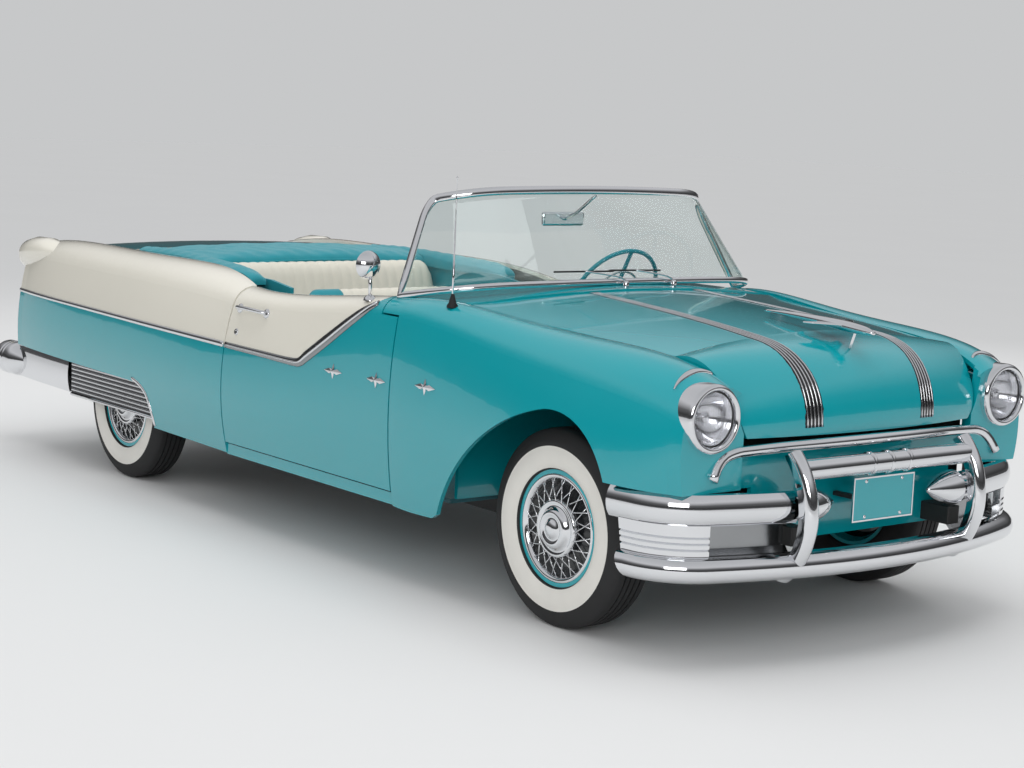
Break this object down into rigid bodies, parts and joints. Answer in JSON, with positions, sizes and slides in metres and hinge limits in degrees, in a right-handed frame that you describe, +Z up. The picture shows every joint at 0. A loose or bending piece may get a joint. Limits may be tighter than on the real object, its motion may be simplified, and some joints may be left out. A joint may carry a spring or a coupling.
{
  "type": "two-door convertible car",
  "caption": "Full-size two-door convertible of the 1950s, top folded under a boot, with opening doors, hood and trunk, steered and rolling wheels.",
  "frame": {"origin": "on the ground, at the middle of the car's length and width", "axes": "+X forward, +Y to the car's left, +Z up"},
  "size_m": [5.338, 1.928, 1.4939],
  "materials": {
    "turquoise_paint": "gloss",
    "ivory_paint": "gloss",
    "chrome": "polished",
    "wheel_metal": "polished",
    "tyre_rubber": "matte",
    "window_glass": "clear",
    "lamp_glass": "fluted",
    "red_lens": "gloss",
    "ivory_leather": "satin",
    "boot_cloth": "matte",
    "ivory_plastic": "gloss",
    "floor_carpet": "matte",
    "underbody_black": "satin",
    "matte_black": "matte",
    "engine_iron": "matte",
    "axle_iron": "matte"
  },
  "bodies": {
    "chassis": {"bumper_guards": "chrome", "chassis_frame": "underbody_black", "cowl": "turquoise_paint", "dashboard": "turquoise_paint", "door_sills": "turquoise_paint", "driveshaft": "underbody_black", "engine_block": "engine_iron", "fender_skirts": "chrome", "floor_pan": "floor_carpet", "front_bumper": "chrome", "front_fender_left": "turquoise_paint", "front_fender_right": "turquoise_paint", "front_seat": "ivory_leather", "front_suspension": "axle_iron", "grille_arch": "chrome", "grille_back": "matte_black", "grille_bar": "chrome", "headlamps": "lamp_glass", "leaf_springs": "axle_iron", "pillar_feet": "turquoise_paint", "radiator": "matte_black", "rear_axle": "axle_iron", "rear_bumper": "chrome", "rear_deck": "turquoise_paint", "rear_floor": "underbody_black", "rear_quarter_left": "ivory_paint", "rear_quarter_right": "ivory_paint", "rear_seat": "ivory_leather", "rear_side_panels": "ivory_leather", "steering_column": "turquoise_paint", "tail_lamps": "red_lens", "tail_panel": "turquoise_paint", "top_boot": "boot_cloth", "windscreen_frame": "chrome", "windscreen_glass": "window_glass"},
    "knuckle_left": {"knuckle_left": "axle_iron"},
    "knuckle_right": {"knuckle_right": "axle_iron"},
    "wheel_front_left": {"tyre_front_left": "tyre_rubber", "wheel_front_left": "wheel_metal"},
    "wheel_front_right": {"tyre_front_right": "tyre_rubber", "wheel_front_right": "wheel_metal"},
    "wheel_rear_left": {"tyre_rear_left": "tyre_rubber", "wheel_rear_left": "wheel_metal"},
    "wheel_rear_right": {"tyre_rear_right": "tyre_rubber", "wheel_rear_right": "wheel_metal"},
    "door_left": {"door_left": "turquoise_paint"},
    "door_right": {"door_right": "turquoise_paint"},
    "hood": {"hood": "turquoise_paint"},
    "trunk_lid": {"trunk_lid": "turquoise_paint"},
    "steering_wheel": {"steering_wheel": "ivory_plastic"}
  },
  "joints": [
    {"name": "steer_right", "type": "hinge", "parent": "chassis", "child": "knuckle_right", "pos_m": [1.79, -0.64, 0.35], "axis": [0, 0, 1], "range_deg": [-30, 30]},
    {"name": "steer_left", "type": "hinge", "parent": "chassis", "child": "knuckle_left", "pos_m": [1.79, 0.64, 0.35], "axis": [0, 0, 1], "range_deg": [-30, 30]},
    {"name": "steering_wheel_turn", "type": "hinge", "parent": "chassis", "child": "steering_wheel", "pos_m": [0.64, 0.4, 1.02], "axis": [-0.8829, 0, 0.4695], "range_deg": [-600, 600]},
    {"name": "spin_front_right", "type": "hinge", "parent": "knuckle_right", "child": "wheel_front_right", "pos_m": [1.79, -0.745, 0.35], "axis": [0, 1, 0], "continuous": true},
    {"name": "spin_front_left", "type": "hinge", "parent": "knuckle_left", "child": "wheel_front_left", "pos_m": [1.79, 0.745, 0.35], "axis": [0, 1, 0], "continuous": true},
    {"name": "spin_rear_right", "type": "hinge", "parent": "chassis", "child": "wheel_rear_right", "pos_m": [-1.36, -0.745, 0.35], "axis": [0, 1, 0], "continuous": true},
    {"name": "spin_rear_left", "type": "hinge", "parent": "chassis", "child": "wheel_rear_left", "pos_m": [-1.36, 0.745, 0.35], "axis": [0, 1, 0], "continuous": true},
    {"name": "door_right_swing", "type": "hinge", "parent": "chassis", "child": "door_right", "pos_m": [0.948, -0.958, 0.7], "axis": [0, 0, 1], "range_deg": [0, 65]},
    {"name": "door_left_swing", "type": "hinge", "parent": "chassis", "child": "door_left", "pos_m": [0.948, 0.958, 0.7], "axis": [0, 0, -1], "range_deg": [0, 65]},
    {"name": "hood_lift", "type": "hinge", "parent": "chassis", "child": "hood", "pos_m": [1.15, 0, 1.118], "axis": [0, -1, 0], "range_deg": [0, 50]},
    {"name": "trunk_lift", "type": "hinge", "parent": "chassis", "child": "trunk_lid", "pos_m": [-1.552, 0, 1.07], "axis": [0, 1, 0], "range_deg": [0, 55]}
  ],
  "couplings": [
    {"joint": "steer_left", "follows": "steer_right", "ratio": 1},
    {"joint": "steering_wheel_turn", "follows": "steer_right", "ratio": 20}
  ]
}
